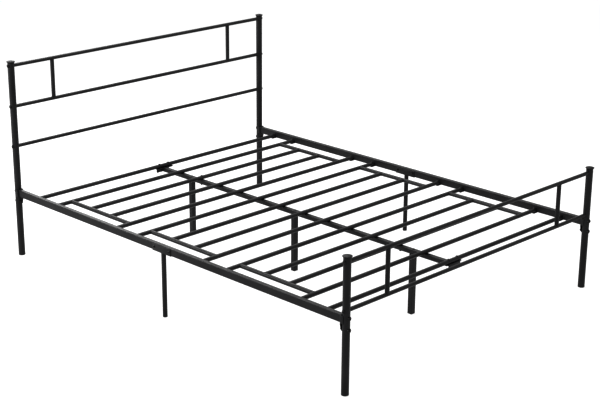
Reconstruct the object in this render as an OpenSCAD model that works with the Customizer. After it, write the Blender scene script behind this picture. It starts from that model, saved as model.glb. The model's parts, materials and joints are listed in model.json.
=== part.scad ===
// Metal platform bed frame, bolted together from steel tube.
// X runs across the width, Y along the length with the headboard at +Y, and Z up from the floor.
// The origin is on the floor, in the middle of the four posts.

/* [Overall] */
// Distance across the width between the axes of the posts
post_span_x = 1524; // [1200:2:1900]
// Distance along the length between the axes of the posts
post_span_y = 2050; // [1750:2:2500]
// Height of the top of the side rails above the floor
bed_height = 319; // [240:1:450]
// Rise of the headboard above the side rails, to the top of its caps
head_rise = 599; // [480:1:900]
// Rise of the footboard above the side rails, to the top of its caps
foot_rise = 235; // [231:1:450]

/* [Posts] */
// Outside diameter of a post
post_d = 30; // [26:0.5:36]
// Wall of a post
post_wall = 1.5; // [1.2:0.1:2.5]
// Overhang of a cap's rim around its post
cap_overhang = 4; // [2:0.5:8]
// Wall of the plug of a cap
cap_plug_wall = 2; // [1:0.5:3]
// Height of a post cap above the end of its tube
cap_h = 10; // [8:0.5:14]
// Height of the cone under a cap's rim
cap_cone_h = 4.5; // [3:0.1:5]
// Height of the straight rim of a cap
cap_rim_h = 1.5; // [1:0.1:2]

/* [Head and foot boards] */
// Outside diameter of a cross rail
rail_d = 16; // [13:0.5:19]
// Wall of the cross rails and the spindles
rail_wall = 1.2; // [1:0.1:1.5]
// Outside diameter of a spindle
spindle_d = 18; // [14:0.5:19]
// Distance from a post's axis to a spindle's axis
spindle_inset = 222; // [150:1:400]
// Distance from the top of the headboard down to its top rail
head_rail_drop = 23; // [20:1:60]
// Distance from the headboard's top rail down to its middle rail
head_panel_h = 187; // [100:1:250]
// Distance from the headboard's middle rail down to its low rail
head_gap_h = 185; // [100:1:190]
// Distance from the top of the footboard down to its top rail
foot_rail_drop = 26; // [20:1:29]
// Distance from the footboard's top rail down to its low rail
foot_panel_h = 191; // [100:1:194]

/* [Side rails] */
// Width of a side rail
side_w = 20; // [20:0.5:26]
// Height of a side rail
side_h = 32; // [28:0.5:40]
// Wall of a side rail
side_wall = 1.5; // [1.2:0.1:1.8]
// Gap between the two halves of a side rail
splice_gap = 2; // [1:0.5:4]

/* [Corner brackets] */
// Wall of the corner bracket's cheeks
cheek_wall = 2; // [1.5:0.1:3]
// Wall of the corner bracket's web, which is welded to the side rail
web_wall = 2.5; // [2:0.1:4]
// Length of the bracket's full channel below the side rail
channel_drop = 11; // [4:1:16]
// Radius of the tongue around the lower corner bolt
tongue_r = 10; // [9:0.5:14]
// Distance from the side rail's top down to the upper corner bolt
upper_bolt_drop = 10; // [9.5:0.5:16]
// Distance from the side rail's underside down to the lower corner bolt
lower_bolt_drop = 25; // [22:1:40]

/* [Middle brackets and legs] */
// Length of a middle bracket
splice_l = 114; // [100:1:200]
// Wall of a middle bracket
splice_wall = 2; // [1.5:0.1:3]
// Distance from the side rail's top down to the top of the middle bracket
splice_top_drop = 3; // [2:0.5:6]
// Distance of each splice bolt from the middle
splice_bolt_y = 47; // [36:1:50]
// Outside diameter of a round leg under a middle bracket
mid_leg_d = 20; // [16:0.5:22]
// Side of a square leg under the centre beam
centre_leg_w = 23; // [20:0.5:30]
// Wall of the round and the square legs
leg_wall = 1.5; // [1.2:0.1:2]
// Thickness of the plate that closes the top of a square leg
leg_plate = 5; // [4:0.5:8]

/* [Slats] */
// Outside diameter of a slat
slat_d = 18; // [15:0.5:20]
// Wall of the slats and the connector bars
slat_wall = 1.2; // [1:0.1:1.5]
// Distance along the length from a post's axis to the first slat
slat_inset = 123; // [90:1:200]
// Diameter of a connector bar
connector_d = 18; // [14:0.5:18]
// Distance from a post's axis to a connector bar's axis
connector_inset = 105; // [60:1:200]
// Distance of a slat bolt from the side rail
slat_bolt_inset = 9; // [8.5:0.5:12]
// Thickness of a ledge that carries a slat's end
ledge_t = 3; // [2:0.5:5]
// Reach of a ledge inwards from the side rail
ledge_l = 19; // [16:0.5:30]
// Part of a ledge that is welded under the side rail
ledge_grip = 10; // [5:0.5:14]

/* [Centre beam] */
// Width and height of the square centre beam
beam_w = 20; // [18:0.5:25]
// Wall of the centre beam
beam_wall = 1.5; // [1.2:0.1:2]
// Thickness of the clamp plate at each end of the beam
clamp_t = 3; // [2:0.5:5]
// Width of the clamp plate's ears
clamp_w = 96; // [84:1:120]
// Width of the clamp plate's upright
upright_w = 72; // [50:1:80]
// Depth of the clamp plate's upright
upright_h = 25; // [22:0.5:40]
// Distance of each clamp bolt from the middle
clamp_bolt_x = 27; // [22:0.5:32]

/* [Feet] */
// Thickness of a plastic foot under its tube
foot_floor = 5; // [3:0.5:8]
// Depth of a foot's plug inside its tube
foot_plug_h = 16; // [10:1:30]
// Wall of a foot's plug
foot_plug_wall = 2; // [1.5:0.1:2.5]

/* [Fasteners] */
// Diameter of the corner bolts and the leg bolts
big_bolt_d = 8; // [8:0.5:8]
// Diameter of the other bolts
small_bolt_d = 6; // [5:0.5:6]
// Length of a threaded insert in the end of a cross rail
insert_l = 20; // [14:1:30]

/* [Clearances] */
// Gap around a plug, a tube or a rail that slides into another piece
slide_gap = 0.2; // [0.1:0.05:0.3]
// Gap around a bolt in a hole
hole_gap = 0.3; // [0.1:0.05:0.5]
// Gap at the shaped end of a tube that meets another tube
cope_gap = 0.2; // [0.1:0.05:0.5]
// Gap between the plug of a cap and the bolt below it
plug_gap = 2; // [1:0.5:3]

/* [Hidden] */

$fn = 64;
steel = [0.10, 0.10, 0.11];
bolt_black = [0.16, 0.16, 0.17];
plastic = [0.07, 0.07, 0.07];
zinc = [0.55, 0.56, 0.58];

// Two single slats and three welded groups of four between them
slat_count = 14;

// Places of the main members
post_x = post_span_x / 2;
post_y = post_span_y / 2;
post_r = post_d / 2;
head_height = bed_height + head_rise;
foot_height = bed_height + foot_rise;
head_rail_top_z = head_height - head_rail_drop;
head_rail_middle_z = head_rail_top_z - head_panel_h;
head_rail_low_z = head_rail_middle_z - head_gap_h;
foot_rail_top_z = foot_height - foot_rail_drop;
foot_rail_low_z = foot_rail_top_z - foot_panel_h;
side_bottom_z = bed_height - side_h;
side_mid_z = bed_height - side_h / 2;
rail_inner_x = post_x - side_w / 2;
cap_plug_h = min(head_rail_drop, foot_rail_drop) - cap_h - small_bolt_d / 2 - plug_gap;
slat_r = slat_d / 2;
slat_z = side_bottom_z + slat_r;
slat_pitch = (post_span_y - 2 * slat_inset) / (slat_count - 1);
slat_end_x = rail_inner_x - 1;
slat_bolt_x = rail_inner_x - slat_bolt_inset;
connector_x = post_x - connector_inset;
beam_top_z = side_bottom_z;
beam_bottom_z = beam_top_z - beam_w;

// Corner bracket, measured from the axis of its post
bracket_half = post_r + slide_gap + cheek_wall;
web_inner = post_r + slide_gap;
web_outer = web_inner + web_wall;
channel_z = side_bottom_z - channel_drop;
cheek_slope_h = 7;
upper_bolt_z = bed_height - upper_bolt_drop;
lower_bolt_z = side_bottom_z - lower_bolt_drop;
tongue_z = lower_bolt_z - tongue_r;

// Middle bracket
splice_inner_w = side_w + 2 * slide_gap;
splice_outer_w = splice_inner_w + 2 * splice_wall;
splice_floor_z = side_bottom_z - slide_gap - splice_wall;
splice_top_z = bed_height - splice_top_drop;

// Feet
foot_round = 2;

// Fasteners
big_head_d = 14;
big_head_h = 4.5;
big_nut_af = 13;
big_nut_h = 6.5;
big_washer_d = 17;
big_washer_t = 2.5;
small_head_d = 12;
small_head_h = 3.5;
small_washer_d = 15;
small_washer_t = 2;
leg_head_h = 3.5;
small_nut_af = 10;
small_nut_h = 5;
thread_past_nut = 2;
key_depth = 2;

// Ends of the beam
beam_end_y = slat_y(1) + slat_r;
clamp_back = 5;

// A slat's place along the bed: slat 1 is at the headboard
function slat_y(i) = post_y - slat_inset - (i - 1) * slat_pitch;
// The first slat of each welded group of four
function group_starts() = [for (i = [2 : 4 : slat_count - 4]) i];
function is_short(i) = len([for (g = group_starts()) if (i == g + 1 || i == g + 2) i]) > 0;
// The slats that are bolted down on the side rails
function long_slats() = [for (i = [1 : slat_count]) if (!is_short(i)) i];
// The slats that are bolted down on the beam, one beside each outer leg
function beam_slats() = [3, slat_count - 2];
// The legs under the beam stand half way between two slats
function leg_y(k) = k == 0 ? 0 : k * (slat_y(2) + slat_y(3)) / 2;

// ---- shapes that several pieces share ----

// A round tube along Z, standing on the plane of its lower end
module tube(d, wall, l) {
    difference() {
        cylinder(d = d, h = l);
        translate([0, 0, -1]) cylinder(d = d - 2 * wall, h = l + 2);
    }
}

// A round tube along X, centred
module tube_x(d, wall, l) {
    rotate([0, 90, 0]) translate([0, 0, -l / 2]) tube(d, wall, l);
}

// A round tube along Y between two places
module tube_y(d, wall, y0, y1) {
    translate([0, y1, 0]) rotate([90, 0, 0]) tube(d, wall, y1 - y0);
}

// The outline of a rectangular tube with rounded corners
module rounded(w, h, r) {
    union() {
        square([w - 2 * r, h], center = true);
        square([w, h - 2 * r], center = true);
        for (sx = [-1, 1], sy = [-1, 1]) {
            translate([sx * (w / 2 - r), sy * (h / 2 - r)]) circle(r = r);
        }
    }
}

// A rectangular tube along Y between two places, centred on its own axis
module box_tube_y(w, h, wall, r, y0, y1) {
    translate([0, y1, 0]) rotate([90, 0, 0]) linear_extrude(y1 - y0) difference() {
        rounded(w, h, r);
        rounded(w - 2 * wall, h - 2 * wall, r - wall / 2);
    }
}

// A button head bolt that points down: its head stands on the plane z = 0
module bolt(d, l, head_d, head_h) {
    dome_r = (head_d * head_d / 4 + head_h * head_h) / (2 * head_h);
    difference() {
        union() {
            rotate_extrude() intersection() {
                translate([0, head_h - dome_r]) circle(r = dome_r);
                square([head_d, head_h]);
            }
            translate([0, 0, -l]) cylinder(d = d, h = l + 0.5);
        }
        translate([0, 0, head_h - key_depth]) cylinder(d = d * 0.6, h = head_h, $fn = 6);
    }
}

// A nut that hangs down from the plane z = 0
module nut(af, h, d) {
    translate([0, 0, -h]) difference() {
        cylinder(d = af / cos(30), h = h, $fn = 6);
        translate([0, 0, -1]) cylinder(d = d, h = h + 2);
    }
}

// A plastic foot for a round tube: a flange as wide as the tube, and a hollow plug inside it
module round_foot(d, wall) {
    plug_r = d / 2 - wall - slide_gap;
    difference() {
        union() {
            rotate_extrude() union() {
                square([d / 2 - foot_round, foot_floor]);
                translate([0, foot_round]) square([d / 2, foot_floor - foot_round]);
                intersection() {
                    translate([d / 2 - foot_round, foot_round]) circle(r = foot_round);
                    square([d / 2, foot_round]);
                }
            }
            translate([0, 0, foot_floor - 1]) cylinder(r = plug_r, h = foot_plug_h + 1);
        }
        translate([0, 0, foot_floor]) cylinder(r = plug_r - foot_plug_wall, h = foot_plug_h + 1);
    }
}

// The same for a square tube
module square_foot(w, wall) {
    plug_w = w - 2 * (wall + slide_gap);
    hollow_w = plug_w - 2 * foot_plug_wall;
    difference() {
        union() {
            linear_extrude(foot_floor) rounded(w, w, 2);
            translate([0, 0, foot_floor - 1]) linear_extrude(foot_plug_h + 1) rounded(plug_w, plug_w, 1);
        }
        translate([0, 0, foot_floor]) linear_extrude(foot_plug_h + 1) rounded(hollow_w, hollow_w, 1);
    }
}

// Puts a piece at one corner, turned so that the bed's middle lies towards its -Y side
module at_corner(sx, sy) {
    translate([sx * post_x, sy * post_y, 0]) rotate([0, 0, sy > 0 ? 0 : 180]) children();
}

// Puts a piece at all four corners
module at_corners() {
    for (sx = [-1, 1], sy = [-1, 1]) {
        at_corner(sx, sy) children();
    }
}

// ---- posts ----

// One post, with holes for its corner bolts along Y and its cross rail bolts along X
module post(sx, sy, top_z, rail_heights) {
    hole_r = big_bolt_d / 2 + hole_gap;
    rail_hole_r = small_bolt_d / 2 + hole_gap;
    color(steel) translate([sx * post_x, sy * post_y, 0]) difference() {
        translate([0, 0, foot_floor]) tube(post_d, post_wall, top_z - cap_h - foot_floor);
        for (z = [upper_bolt_z, lower_bolt_z]) {
            translate([0, post_d, z]) rotate([90, 0, 0]) cylinder(r = hole_r, h = 2 * post_d);
        }
        for (z = rail_heights) {
            translate([-post_d, 0, z]) rotate([0, 90, 0]) cylinder(r = rail_hole_r, h = 2 * post_d);
        }
    }
}

head_heights = [head_rail_top_z, head_rail_middle_z, head_rail_low_z];
foot_heights = [foot_rail_top_z, foot_rail_low_z];

// A cap with a cone under its rim, a low dome on top and a plug inside the tube
module post_cap() {
    cap_r = post_r + cap_overhang;
    dome_h = cap_h - cap_cone_h - cap_rim_h;
    dome_r = (cap_r * cap_r + dome_h * dome_h) / (2 * dome_h);
    rim_top = cap_cone_h + cap_rim_h;
    union() {
        cylinder(r1 = post_r, r2 = cap_r, h = cap_cone_h);
        translate([0, 0, cap_cone_h]) cylinder(r = cap_r, h = cap_rim_h);
        rotate_extrude() intersection() {
            translate([0, cap_h - dome_r]) circle(r = dome_r);
            translate([0, rim_top]) square([cap_r, dome_h]);
        }
        translate([0, 0, -cap_plug_h]) difference() {
            cylinder(r = post_r - post_wall - slide_gap / 2, h = cap_plug_h + 1);
            translate([0, 0, -1]) cylinder(r = post_r - post_wall - cap_plug_wall, h = cap_plug_h);
        }
    }
}

module post_caps() {
    color(plastic) for (sx = [-1, 1]) {
        translate([sx * post_x, post_y, head_height - cap_h]) post_cap();
        translate([sx * post_x, -post_y, foot_height - cap_h]) post_cap();
    }
}

module post_feet() {
    color(plastic) at_corners() round_foot(post_d, post_wall);
}

// ---- head and foot boards ----

// A cross rail whose ends are shaped to its two posts
module cross_rail(sy, z) {
    color(steel) translate([0, sy * post_y, z]) difference() {
        tube_x(rail_d, rail_wall, post_span_x);
        for (sx = [-1, 1]) {
            translate([sx * post_x, 0, -rail_d]) cylinder(r = post_r + cope_gap, h = 2 * rail_d);
        }
    }
}

// Two spindles between two cross rails, with their ends shaped to the rails
module spindles(sy, low_z, high_z) {
    color(steel) for (sx = [-1, 1]) {
        translate([sx * (post_x - spindle_inset), sy * post_y, 0]) difference() {
            translate([0, 0, low_z]) tube(spindle_d, rail_wall, high_z - low_z);
            for (z = [low_z, high_z]) {
                translate([-spindle_d, 0, z]) rotate([0, 90, 0])
                    cylinder(r = rail_d / 2 + cope_gap, h = 2 * spindle_d);
            }
        }
    }
}

// A threaded insert pressed into each end of every cross rail
module rail_inserts() {
    insert_start = post_r + rail_d / 4;
    color(zinc) for (sx = [-1, 1], board = [0, 1]) {
        for (z = board == 0 ? head_heights : foot_heights) {
            translate([sx * (post_x - insert_start), (board == 0 ? 1 : -1) * post_y, z])
                rotate([0, -sx * 90, 0]) difference() {
                    cylinder(d = rail_d - 2 * rail_wall, h = insert_l);
                    translate([0, 0, -1]) cylinder(d = small_bolt_d, h = insert_l + 2);
                }
        }
    }
}

// A bolt through the post into each threaded insert, with its head on the outer side
module rail_bolts() {
    head_x = post_r + small_washer_t;
    bolt_l = head_x + post_r + rail_d / 4 + insert_l - 4;
    color(bolt_black) for (sx = [-1, 1], board = [0, 1]) {
        for (z = board == 0 ? head_heights : foot_heights) {
            translate([sx * (post_x + head_x), (board == 0 ? 1 : -1) * post_y, z])
                rotate([0, sx * 90, 0]) bolt(small_bolt_d, bolt_l, small_head_d, small_head_h);
        }
    }
}

// ---- side rails and their brackets ----

// One half of a side rail, welded to its corner bracket and drilled for its splice bolt
module side_rail(sx, sy) {
    near_y = splice_gap / 2;
    far_y = post_y - web_outer;
    y0 = sy > 0 ? near_y : -far_y;
    y1 = sy > 0 ? far_y : -near_y;
    color(steel) translate([sx * post_x, 0, side_mid_z]) difference() {
        box_tube_y(side_w, side_h, side_wall, 2.5, y0, y1);
        translate([-side_w, sy * splice_bolt_y, 0]) rotate([0, 90, 0])
            cylinder(r = small_bolt_d / 2 + hole_gap, h = 2 * side_w);
    }
}

// A pressed channel between the side rail and the post, with a tongue for the lower bolt
module corner_bracket(sx, sy) {
    color(steel) at_corner(sx, sy) difference() {
        intersection() {
            translate([0, 1, 0]) rotate([90, 0, 0]) linear_extrude(web_outer + 2) union() {
                polygon([
                    [-bracket_half, bed_height], [-bracket_half, channel_z],
                    [-tongue_r, lower_bolt_z], [tongue_r, lower_bolt_z],
                    [bracket_half, channel_z], [bracket_half, bed_height]
                ]);
                translate([0, lower_bolt_z]) circle(r = tongue_r);
            }
            translate([-bracket_half - 1, 0, 0]) rotate([90, 0, 90])
                linear_extrude(2 * bracket_half + 2) polygon([
                    [0, bed_height], [0, channel_z], [-web_inner, channel_z - cheek_slope_h],
                    [-web_inner, tongue_z - 1], [-web_outer, tongue_z - 1],
                    [-web_outer, bed_height]
                ]);
        }
        translate([-web_inner, -web_inner, tongue_z - 2])
            cube([2 * web_inner, web_inner + 1, bed_height]);
        for (z = [upper_bolt_z, lower_bolt_z]) {
            translate([0, 0, z]) rotate([90, 0, 0])
                cylinder(r = big_bolt_d / 2 + hole_gap, h = 2 * web_outer);
        }
    }
}

// A channel under the joint of the two halves of a side rail
module mid_bracket(sx) {
    color(steel) translate([sx * post_x, 0, 0]) difference() {
        translate([-splice_outer_w / 2, -splice_l / 2, splice_floor_z])
            cube([splice_outer_w, splice_l, splice_top_z - splice_floor_z]);
        translate([-splice_inner_w / 2, -splice_l, side_bottom_z - slide_gap])
            cube([splice_inner_w, 2 * splice_l, side_h]);
        for (sy = [-1, 1]) {
            translate([-splice_outer_w, sy * splice_bolt_y, side_mid_z]) rotate([0, 90, 0])
                cylinder(r = small_bolt_d / 2 + hole_gap, h = 2 * splice_outer_w);
        }
    }
}

module splice_bolts() {
    bolt_l = splice_outer_w + small_nut_h + thread_past_nut;
    color(bolt_black) for (sx = [-1, 1], sy = [-1, 1]) {
        translate([sx * (post_x + splice_outer_w / 2), sy * splice_bolt_y, side_mid_z])
            rotate([0, sx * 90, 0]) bolt(small_bolt_d, bolt_l, small_head_d, small_head_h);
    }
}

// Two bolts at each corner, with their heads on the end of the bed
module corner_bolts() {
    head_y = post_r + big_washer_t;
    bolt_l = head_y + web_outer + big_nut_h + thread_past_nut;
    color(bolt_black) at_corners() for (z = [upper_bolt_z, lower_bolt_z]) {
        translate([0, head_y, z]) rotate([-90, 0, 0])
            bolt(big_bolt_d, bolt_l, big_head_d, big_head_h);
    }
}

// A washer on the +Y side of a post, hollowed to sit on its round side
module saddle_washer(d, t, bolt_d) {
    difference() {
        rotate([-90, 0, 0]) cylinder(d = d, h = post_r + t);
        translate([0, 0, -d]) cylinder(r = post_r + slide_gap / 2, h = 2 * d);
        rotate([-90, 0, 0]) cylinder(r = bolt_d / 2 + hole_gap, h = 2 * post_r);
    }
}

// The washers under the heads of the corner bolts and of the cross rails' bolts
module saddle_washers() {
    color(bolt_black) {
        at_corners() for (z = [upper_bolt_z, lower_bolt_z]) {
            translate([0, 0, z]) saddle_washer(big_washer_d, big_washer_t, big_bolt_d);
        }
        for (sx = [-1, 1], board = [0, 1]) {
            for (z = board == 0 ? head_heights : foot_heights) {
                translate([sx * post_x, (board == 0 ? 1 : -1) * post_y, z]) rotate([0, 0, -sx * 90])
                    saddle_washer(small_washer_d, small_washer_t, small_bolt_d);
            }
        }
    }
}

// A nut welded on the web of the corner bracket behind each corner bolt
module corner_nuts() {
    color(bolt_black) at_corners() for (z = [upper_bolt_z, lower_bolt_z]) {
        translate([0, -web_outer, z]) rotate([-90, 0, 0])
            nut(big_nut_af, big_nut_h, big_bolt_d);
    }
}

// ---- slats ----

// A slat: long ones reach the side rails, short ones end on the connector bars
module slat(i) {
    half = is_short(i) ? connector_x : slat_end_x;
    bolt_places = concat(
        is_short(i) ? [] : [-slat_bolt_x, slat_bolt_x],
        i == 1 || i == slat_count ? [-clamp_bolt_x, clamp_bolt_x] : [],
        i == beam_slats()[0] || i == beam_slats()[1] ? [0] : []
    );
    color(steel) translate([0, slat_y(i), slat_z]) difference() {
        tube_x(slat_d, slat_wall, 2 * half);
        for (x = bolt_places) {
            translate([x, 0, -slat_d]) cylinder(r = small_bolt_d / 2 + hole_gap, h = 2 * slat_d);
        }
        if (is_short(i)) {
            for (sx = [-1, 1]) {
                translate([sx * connector_x, slat_d, 0]) rotate([90, 0, 0])
                    cylinder(r = connector_d / 2 + cope_gap, h = 2 * slat_d);
            }
        }
    }
}

// The connector bars of one side: one for each welded group, between its two long slats
module connectors(sx) {
    color(steel) for (g = group_starts()) {
        translate([sx * connector_x, 0, slat_z]) difference() {
            tube_y(connector_d, slat_wall, slat_y(g + 3), slat_y(g));
            for (i = [g, g + 3]) {
                translate([-connector_d, slat_y(i), 0]) rotate([0, 90, 0])
                    cylinder(r = slat_r + cope_gap, h = 2 * connector_d);
            }
        }
    }
}

// Tapped ledges welded under the side rails, one for each end of every long slat
module slat_ledges() {
    full_l = ledge_l + ledge_grip;
    color(steel) for (sx = [-1, 1], i = long_slats()) {
        x0 = sx > 0 ? rail_inner_x - ledge_l : -rail_inner_x - ledge_grip;
        difference() {
            translate([x0, slat_y(i) - slat_r, side_bottom_z - ledge_t])
                cube([full_l, slat_d, ledge_t]);
            translate([sx * slat_bolt_x, slat_y(i), side_bottom_z - 2 * ledge_t])
                cylinder(d = small_bolt_d, h = 3 * ledge_t);
        }
    }
}

// A bolt down through each end of every long slat into its ledge
module slat_bolts() {
    bolt_l = slat_d + ledge_t + 2;
    color(bolt_black) for (sx = [-1, 1], i = long_slats()) {
        translate([sx * slat_bolt_x, slat_y(i), slat_z + slat_r])
            bolt(small_bolt_d, bolt_l, small_head_d - 1, small_head_h);
    }
}

// ---- centre beam ----

module centre_beam() {
    color(steel) translate([0, 0, beam_bottom_z + beam_w / 2]) difference() {
        box_tube_y(beam_w, beam_w, beam_wall, 2, -beam_end_y, beam_end_y);
        for (i = beam_slats()) {
            translate([0, slat_y(i), -beam_w]) cylinder(r = small_bolt_d / 2 + hole_gap, h = 2 * beam_w);
        }
        for (k = [-1, 0, 1]) {
            translate([0, leg_y(k), -beam_w]) cylinder(r = big_bolt_d / 2 + hole_gap, h = 2 * beam_w);
        }
    }
}

// An angle at the end of the beam: an upright on its end and two ears under the end slat
module beam_clamp(sy) {
    ear_l = slat_d + clamp_back;
    color(steel) rotate([0, 0, sy > 0 ? 0 : 180]) difference() {
        union() {
            translate([-clamp_w / 2, beam_end_y - ear_l, beam_top_z - clamp_t])
                cube([clamp_w, ear_l + clamp_t, clamp_t]);
            translate([-upright_w / 2, beam_end_y, beam_top_z - upright_h])
                cube([upright_w, clamp_t, upright_h]);
        }
        translate([-beam_w / 2 - slide_gap, beam_end_y - 2 * ear_l, beam_bottom_z])
            cube([beam_w + 2 * slide_gap, 2 * ear_l, beam_w + 1]);
        for (sx = [-1, 1]) {
            translate([sx * clamp_bolt_x, slat_y(1), beam_top_z - 2 * clamp_t])
                cylinder(r = small_bolt_d / 2 + hole_gap, h = 3 * clamp_t);
        }
    }
}

// Bolts that hold the end slats to the clamps and two more slats to the beam
module beam_bolts() {
    clamp_bolt_l = slat_d + clamp_t + small_nut_h + thread_past_nut;
    beam_bolt_l = slat_d + beam_w + small_nut_h + thread_past_nut;
    color(bolt_black) {
        for (sx = [-1, 1], i = [1, slat_count]) {
            translate([sx * clamp_bolt_x, slat_y(i), slat_z + slat_r])
                bolt(small_bolt_d, clamp_bolt_l, small_head_d, small_head_h);
        }
        for (i = beam_slats()) {
            translate([0, slat_y(i), slat_z + slat_r])
                bolt(small_bolt_d, beam_bolt_l, small_head_d, small_head_h);
        }
    }
}

// The small nuts: inside the splices, under the clamps and under the beam
module m6_nuts() {
    color(bolt_black) {
        for (sx = [-1, 1], sy = [-1, 1]) {
            translate([sx * (post_x - splice_outer_w / 2), sy * splice_bolt_y, side_mid_z])
                rotate([0, sx * 90, 0]) nut(small_nut_af, small_nut_h, small_bolt_d);
        }
        for (sx = [-1, 1], i = [1, slat_count]) {
            translate([sx * clamp_bolt_x, slat_y(i), beam_top_z - clamp_t])
                nut(small_nut_af, small_nut_h, small_bolt_d);
        }
        for (i = beam_slats()) {
            translate([0, slat_y(i), beam_bottom_z]) nut(small_nut_af, small_nut_h, small_bolt_d);
        }
    }
}

// ---- legs ----

// A round leg welded under a middle bracket
module mid_leg(sx) {
    color(steel) translate([sx * post_x, 0, foot_floor])
        tube(mid_leg_d, leg_wall, splice_floor_z - foot_floor);
}

// A square leg, closed at its top by a tapped plate
module centre_leg(k) {
    inner_w = centre_leg_w - 2 * leg_wall;
    color(steel) translate([0, leg_y(k), foot_floor]) difference() {
        linear_extrude(beam_bottom_z - foot_floor) rounded(centre_leg_w, centre_leg_w, 2);
        translate([0, 0, -leg_plate]) linear_extrude(beam_bottom_z - foot_floor)
            rounded(inner_w, inner_w, 1);
        cylinder(d = big_bolt_d, h = 2 * beam_bottom_z);
    }
}

module leg_bolts() {
    bolt_l = beam_w + leg_plate + 4;
    color(bolt_black) for (k = [-1, 0, 1]) {
        translate([0, leg_y(k), beam_top_z]) bolt(big_bolt_d, bolt_l, big_head_d, leg_head_h);
    }
}

module mid_leg_feet() {
    color(plastic) for (sx = [-1, 1]) {
        translate([sx * post_x, 0, 0]) round_foot(mid_leg_d, leg_wall);
    }
}

module centre_leg_feet() {
    color(plastic) for (k = [-1, 0, 1]) {
        translate([0, leg_y(k), 0]) square_foot(centre_leg_w, leg_wall);
    }
}

// ---- the assembly ----

post(-1, 1, head_height, head_heights);  // head_post_left
post(1, 1, head_height, head_heights);  // head_post_right
post(-1, -1, foot_height, foot_heights);  // foot_post_left
post(1, -1, foot_height, foot_heights);  // foot_post_right
post_caps();
post_feet();
cross_rail(1, head_rail_top_z);  // head_rail_top
cross_rail(1, head_rail_middle_z);  // head_rail_middle
cross_rail(1, head_rail_low_z);  // head_rail_low
spindles(1, head_rail_middle_z, head_rail_top_z);  // head_spindles
cross_rail(-1, foot_rail_top_z);  // foot_rail_top
cross_rail(-1, foot_rail_low_z);  // foot_rail_low
spindles(-1, foot_rail_low_z, foot_rail_top_z);  // foot_spindles
side_rail(-1, 1);  // side_rail_left_head
side_rail(-1, -1);  // side_rail_left_foot
side_rail(1, 1);  // side_rail_right_head
side_rail(1, -1);  // side_rail_right_foot
corner_bracket(-1, 1);  // corner_bracket_head_left
corner_bracket(1, 1);  // corner_bracket_head_right
corner_bracket(-1, -1);  // corner_bracket_foot_left
corner_bracket(1, -1);  // corner_bracket_foot_right
mid_bracket(-1);  // mid_bracket_left
mid_bracket(1);  // mid_bracket_right
mid_leg(-1);  // mid_leg_left
mid_leg(1);  // mid_leg_right
slat(1);  // slat_1
slat(2);  // slat_2
slat(3);  // slat_3
slat(4);  // slat_4
slat(5);  // slat_5
slat(6);  // slat_6
slat(7);  // slat_7
slat(8);  // slat_8
slat(9);  // slat_9
slat(10);  // slat_10
slat(11);  // slat_11
slat(12);  // slat_12
slat(13);  // slat_13
slat(14);  // slat_14
connectors(-1);  // connectors_left
connectors(1);  // connectors_right
slat_ledges();
centre_beam();
beam_clamp(1);  // beam_clamp_head
beam_clamp(-1);  // beam_clamp_foot
centre_leg(1);  // centre_leg_head
centre_leg(0);  // centre_leg_middle
centre_leg(-1);  // centre_leg_foot
mid_leg_feet();
centre_leg_feet();
corner_bolts();
saddle_washers();
corner_nuts();
rail_bolts();
rail_inserts();
slat_bolts();
splice_bolts();
beam_bolts();
leg_bolts();
m6_nuts();
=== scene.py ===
# %% [markdown]
# # A metal bed frame, finished for its portrait
#
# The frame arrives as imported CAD: every tube, bracket, bolt and foot is already in its
# true place, in metres. X runs across the bed, Y runs from the footboard to the headboard
# and Z points up. This lesson gives the steel its satin powder coat, makes the pressed and
# moulded pieces again with the bends and rounded edges that real ones have, lays the weld
# beads, and sets up a plain studio. The CAD tubes themselves stay: their shape is right.

# %% Load the frame
import json
from math import cos, pi, radians, sin, sqrt

import bmesh
import bpy
from mathutils import Euler, Matrix, Vector


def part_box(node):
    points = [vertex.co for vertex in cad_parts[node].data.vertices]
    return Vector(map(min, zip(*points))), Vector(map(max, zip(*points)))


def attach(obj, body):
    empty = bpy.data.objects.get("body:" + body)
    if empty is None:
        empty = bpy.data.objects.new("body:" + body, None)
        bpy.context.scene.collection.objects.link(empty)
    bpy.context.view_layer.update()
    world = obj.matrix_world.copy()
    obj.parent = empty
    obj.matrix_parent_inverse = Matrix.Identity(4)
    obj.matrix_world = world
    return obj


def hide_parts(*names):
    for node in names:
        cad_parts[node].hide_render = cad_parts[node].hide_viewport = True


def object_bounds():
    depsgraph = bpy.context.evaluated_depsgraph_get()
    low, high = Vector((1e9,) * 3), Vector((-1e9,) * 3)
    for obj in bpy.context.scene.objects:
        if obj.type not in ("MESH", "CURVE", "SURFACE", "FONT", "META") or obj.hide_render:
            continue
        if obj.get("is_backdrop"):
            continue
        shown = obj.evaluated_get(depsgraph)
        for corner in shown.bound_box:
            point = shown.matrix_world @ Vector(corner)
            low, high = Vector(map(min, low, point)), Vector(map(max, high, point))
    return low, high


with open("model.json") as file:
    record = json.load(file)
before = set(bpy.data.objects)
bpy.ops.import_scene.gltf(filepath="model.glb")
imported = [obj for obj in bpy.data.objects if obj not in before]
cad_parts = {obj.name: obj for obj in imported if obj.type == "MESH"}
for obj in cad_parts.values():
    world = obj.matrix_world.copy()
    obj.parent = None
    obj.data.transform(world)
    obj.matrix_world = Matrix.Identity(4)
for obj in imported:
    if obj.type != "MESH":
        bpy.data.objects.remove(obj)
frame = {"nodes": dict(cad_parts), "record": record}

cad_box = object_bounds()
print("nodes:", len(frame["nodes"]), "box:", [round(v, 3) for v in (*cad_box[0], *cad_box[1])])

# %% [markdown]
# ## Where things are
#
# Everything made here takes its place from the boxes of the CAD nodes, so nothing has to
# be fitted by eye. The bed is the same on its left and right, and its corners are alike,
# so most pieces are made once at the origin and copied to places given by signs.

# %% Measure the frame
MM = 0.001


def middle(node):
    low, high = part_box(node)
    return (low + high) / 2


def size(node):
    low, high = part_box(node)
    return high - low


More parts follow.
